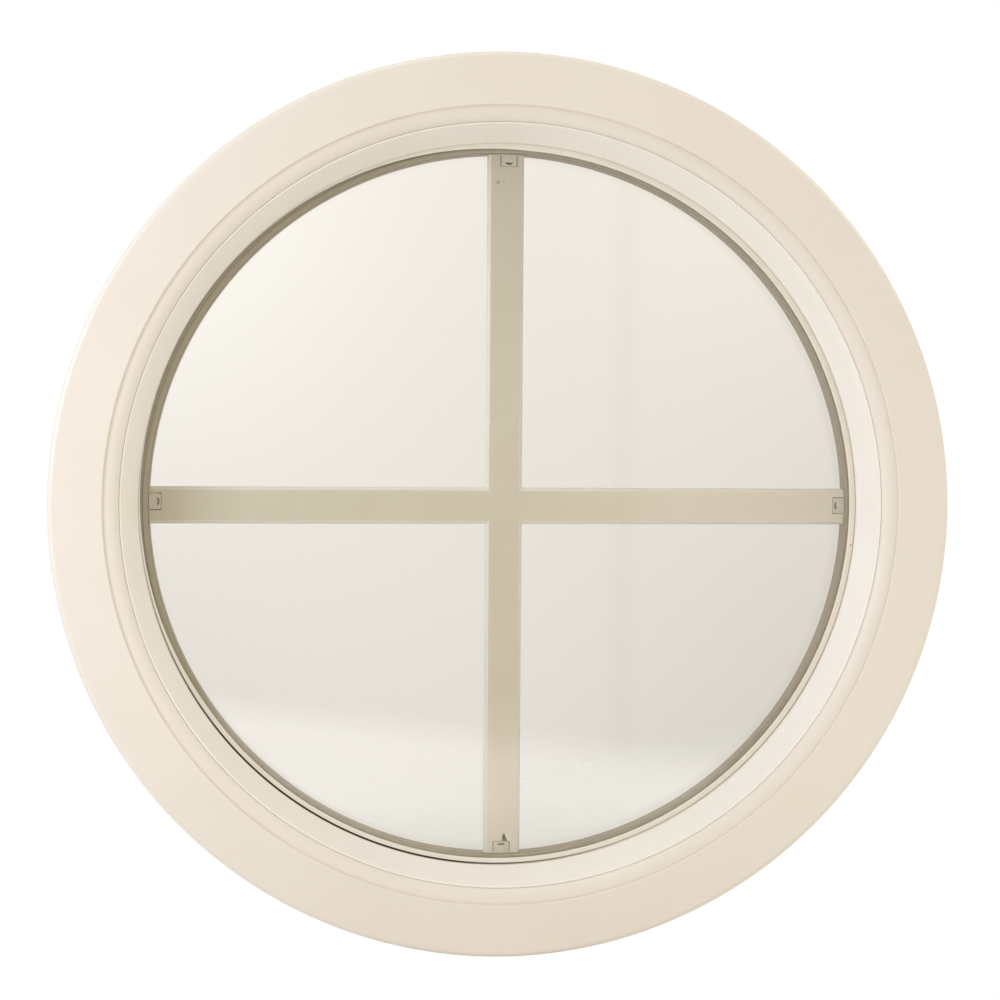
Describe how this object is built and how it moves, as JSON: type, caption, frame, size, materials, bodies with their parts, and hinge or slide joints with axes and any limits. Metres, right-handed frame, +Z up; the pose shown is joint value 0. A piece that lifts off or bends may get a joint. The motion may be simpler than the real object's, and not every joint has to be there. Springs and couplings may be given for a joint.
{
  "type": "round window",
  "caption": "Fixed round window: a cream moulded frame ring with a sloped glazing bead and a sealed double pane that carries a flat cross grille between its glasses.",
  "frame": {"origin": "centre of the round rim, at half the depth of the frame", "axes": "+Y along the window's axis from the moulded front to the back, +Z up, +X to the right seen from the front"},
  "size_m": [0.6, 0.07, 0.6],
  "materials": {
    "frame_plastic": "cream extruded plastic, satin gloss",
    "bead_plastic": "cream extruded plastic, gloss",
    "gasket_rubber": "pale glazing gasket, matt",
    "glass": "clear float glass",
    "spacer_metal": "bronze-grey rolled aluminium",
    "bar_paint": "beige painted aluminium, satin",
    "keeper_plastic": "beige moulded plastic",
    "inner_plastic": "black moulded plastic",
    "sealant": "bronze-grey butyl and sealant",
    "desiccant_beads": "packed drying beads",
    "packer_plastic": "moulded plastic packer"
  },
  "bodies": {
    "root": {"outer_frame": "frame_plastic", "glazing_bead": "bead_plastic", "bead_gasket": "gasket_rubber", "back_gasket": "gasket_rubber", "front_pane": "glass", "back_pane": "glass", "spacer": "spacer_metal", "spacer_key": "inner_plastic", "desiccant": "desiccant_beads", "front_butyl": "sealant", "back_butyl": "sealant", "edge_sealant": "sealant", "bar_right": "bar_paint", "bar_top": "bar_paint", "bar_left": "bar_paint", "bar_bottom": "bar_paint", "cross_joiner": "inner_plastic", "keeper_right": "keeper_plastic", "keeper_top": "keeper_plastic", "keeper_left": "keeper_plastic", "keeper_bottom": "keeper_plastic", "packer_1": "packer_plastic", "packer_2": "packer_plastic", "packer_3": "packer_plastic", "packer_4": "packer_plastic", "packer_5": "packer_plastic", "packer_6": "packer_plastic"}
  },
  "joints": []
}
